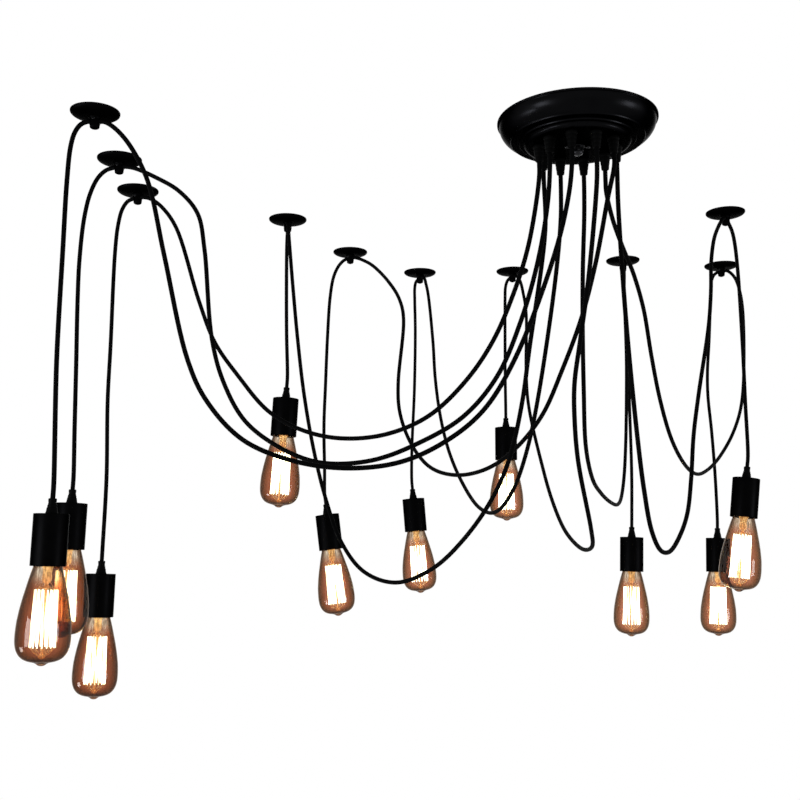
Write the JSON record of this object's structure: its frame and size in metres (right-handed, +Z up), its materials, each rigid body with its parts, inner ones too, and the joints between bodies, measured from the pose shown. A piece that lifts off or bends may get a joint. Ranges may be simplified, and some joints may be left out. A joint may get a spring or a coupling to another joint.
{
  "type": "spider pendant light",
  "caption": "Ceiling light with a round canopy whose cords swag to saucer hooks and drop to filament bulbs in tall black holders.",
  "frame": {"origin": "on the ceiling plane at the middle of the canopy's mounting bar", "axes": "+Z up into the ceiling, everything hangs below it; +X to the right and +Y away from the viewer of the picture"},
  "size_m": [1.1253, 0.885, 0.758],
  "materials": {
    "canopy_black": "gloss",
    "satin_black": "satin",
    "cord_black": "matte",
    "amber_glass": "gloss",
    "steel": "polished",
    "zinc": "satin",
    "terminal_white": "matte"
  },
  "bodies": {
    "ceiling_fixture": {"canopy_cover": "canopy_black", "mounting_bracket": "zinc", "centre_stud": "zinc", "lock_nut": "zinc", "cap_washer": "steel", "cap_nut": "steel", "canopy_screw_left": "steel", "canopy_screw_right": "steel", "earth_screw": "zinc", "terminal_block": "terminal_white", "swag_cord_01": "cord_black", "ceiling_hook_01": "satin_black", "swag_cord_02": "cord_black", "ceiling_hook_02": "satin_black", "swag_cord_03": "cord_black", "ceiling_hook_03": "satin_black", "swag_cord_04": "cord_black", "ceiling_hook_04": "satin_black", "swag_cord_05": "cord_black", "ceiling_hook_05": "satin_black", "swag_cord_06": "cord_black", "ceiling_hook_06": "satin_black", "swag_cord_07": "cord_black", "ceiling_hook_07": "satin_black", "swag_cord_08": "cord_black", "ceiling_hook_08": "satin_black", "swag_cord_09": "cord_black", "ceiling_hook_09": "satin_black", "swag_cord_10": "cord_black", "ceiling_hook_10": "satin_black"},
    "pendant_01": {"drop_cord_01": "cord_black", "lamp_holder_01": "satin_black"},
    "lamp_01": {"bulb_01": "amber_glass"},
    "pendant_02": {"drop_cord_02": "cord_black", "lamp_holder_02": "satin_black"},
    "lamp_02": {"bulb_02": "amber_glass"},
    "pendant_03": {"drop_cord_03": "cord_black", "lamp_holder_03": "satin_black"},
    "lamp_03": {"bulb_03": "amber_glass"},
    "pendant_04": {"drop_cord_04": "cord_black", "lamp_holder_04": "satin_black"},
    "lamp_04": {"bulb_04": "amber_glass"},
    "pendant_05": {"drop_cord_05": "cord_black", "lamp_holder_05": "satin_black"},
    "lamp_05": {"bulb_05": "amber_glass"},
    "pendant_06": {"drop_cord_06": "cord_black", "lamp_holder_06": "satin_black"},
    "lamp_06": {"bulb_06": "amber_glass"},
    "pendant_07": {"drop_cord_07": "cord_black", "lamp_holder_07": "satin_black"},
    "lamp_07": {"bulb_07": "amber_glass"},
    "pendant_08": {"drop_cord_08": "cord_black", "lamp_holder_08": "satin_black"},
    "lamp_08": {"bulb_08": "amber_glass"},
    "pendant_09": {"drop_cord_09": "cord_black", "lamp_holder_09": "satin_black"},
    "lamp_09": {"bulb_09": "amber_glass"},
    "pendant_10": {"drop_cord_10": "cord_black", "lamp_holder_10": "satin_black"},
    "lamp_10": {"bulb_10": "amber_glass"}
  },
  "joints": [
    {"name": "pendant_swing_01", "type": "hinge", "parent": "ceiling_fixture", "child": "pendant_01", "pos_m": [-0.64757, -0.02805, -0.013], "axis": [0, 1, 0], "range_deg": [-15, 15], "deforming": ["drop_cord_01"]},
    {"name": "bulb_screw_01", "type": "hinge", "parent": "pendant_01", "child": "lamp_01", "pos_m": [-0.646, -0.028, -0.489], "axis": [-0.0227, 0, -0.9997], "range_deg": [0, 1260]},
    {"name": "pendant_swing_02", "type": "hinge", "parent": "ceiling_fixture", "child": "pendant_02", "pos_m": [-0.67377, 0.13599, -0.013], "axis": [0, 1, 0], "range_deg": [-15, 15], "deforming": ["drop_cord_02"]},
    {"name": "bulb_screw_02", "type": "hinge", "parent": "pendant_02", "child": "lamp_02", "pos_m": [-0.672, 0.136, -0.467], "axis": [-0.0262, 0, -0.9997], "range_deg": [0, 1260]},
    {"name": "pendant_swing_03", "type": "hinge", "parent": "ceiling_fixture", "child": "pendant_03", "pos_m": [-0.66618, 0.26999, -0.013], "axis": [0, 1, 0], "range_deg": [-15, 15], "deforming": ["drop_cord_03"]},
    {"name": "bulb_screw_03", "type": "hinge", "parent": "pendant_03", "child": "lamp_03", "pos_m": [-0.665, 0.27, -0.562], "axis": [-0.0192, 0, -0.9998], "range_deg": [0, 1260]},
    {"name": "pendant_swing_04", "type": "hinge", "parent": "ceiling_fixture", "child": "pendant_04", "pos_m": [-0.41872, 0.42397, -0.013], "axis": [0.1736, -0.9848, 0], "range_deg": [-15, 15], "deforming": ["drop_cord_04"]},
    {"name": "bulb_screw_04", "type": "hinge", "parent": "pendant_04", "child": "lamp_04", "pos_m": [-0.415, 0.424, -0.28], "axis": [-0.0523, 0, -0.9986], "range_deg": [0, 1260]},
    {"name": "pendant_swing_05", "type": "hinge", "parent": "ceiling_fixture", "child": "pendant_05", "pos_m": [-0.3524, 0.60598, -0.013], "axis": [0.8191, -0.5736, 0], "range_deg": [-15, 12], "deforming": ["drop_cord_05"]},
    {"name": "bulb_screw_05", "type": "hinge", "parent": "pendant_05", "child": "lamp_05", "pos_m": [-0.361, 0.606, -0.461], "axis": [0.1253, 0, -0.9921], "range_deg": [0, 1260]},
    {"name": "pendant_swing_06", "type": "hinge", "parent": "ceiling_fixture", "child": "pendant_06", "pos_m": [-0.19934, 0.74999, -0.013], "axis": [0.4226, -0.9063, 0], "range_deg": [-15, 15], "deforming": ["drop_cord_06"]},
    {"name": "bulb_screw_06", "type": "hinge", "parent": "pendant_06", "child": "lamp_06", "pos_m": [-0.205, 0.75, -0.424], "axis": [0.0802, 0, -0.9968], "range_deg": [0, 1260]},
    {"name": "pendant_swing_07", "type": "hinge", "parent": "ceiling_fixture", "child": "pendant_07", "pos_m": [-0.02532, 0.73998, -0.013], "axis": [0.5, -0.866, 0], "range_deg": [-15, 15], "deforming": ["drop_cord_07"]},
    {"name": "bulb_screw_07", "type": "hinge", "parent": "pendant_07", "child": "lamp_07", "pos_m": [-0.025, 0.74, -0.288], "axis": [-0.0052, 0, -1], "range_deg": [0, 1260]},
    {"name": "pendant_swing_08", "type": "hinge", "parent": "ceiling_fixture", "child": "pendant_08", "pos_m": [0.19373, 0.66897, -0.013], "axis": [-0.1392, -0.9903, 0], "range_deg": [-15, 10], "deforming": ["drop_cord_08"]},
    {"name": "bulb_screw_08", "type": "hinge", "parent": "pendant_08", "child": "lamp_08", "pos_m": [0.196, 0.669, -0.499], "axis": [-0.0349, 0, -0.9994], "range_deg": [0, 1260]},
    {"name": "pendant_swing_09", "type": "hinge", "parent": "ceiling_fixture", "child": "pendant_09", "pos_m": [0.313, 0.38199, -0.013], "axis": [-0.5736, -0.8191, 0], "range_deg": [-7, 15], "deforming": ["drop_cord_09"]},
    {"name": "bulb_screw_09", "type": "hinge", "parent": "pendant_09", "child": "lamp_09", "pos_m": [0.321, 0.382, -0.414], "axis": [-0.1167, 0, -0.9932], "range_deg": [0, 1260]},
    {"name": "pendant_swing_10", "type": "hinge", "parent": "ceiling_fixture", "child": "pendant_10", "pos_m": [0.35973, 0.69998, -0.013], "axis": [0.6691, -0.7431, 0], "range_deg": [-15, 15], "deforming": ["drop_cord_10"]},
    {"name": "bulb_screw_10", "type": "hinge", "parent": "pendant_10", "child": "lamp_10", "pos_m": [0.362, 0.7, -0.5], "axis": [-0.0332, 0, -0.9995], "range_deg": [0, 1260]}
  ]
}
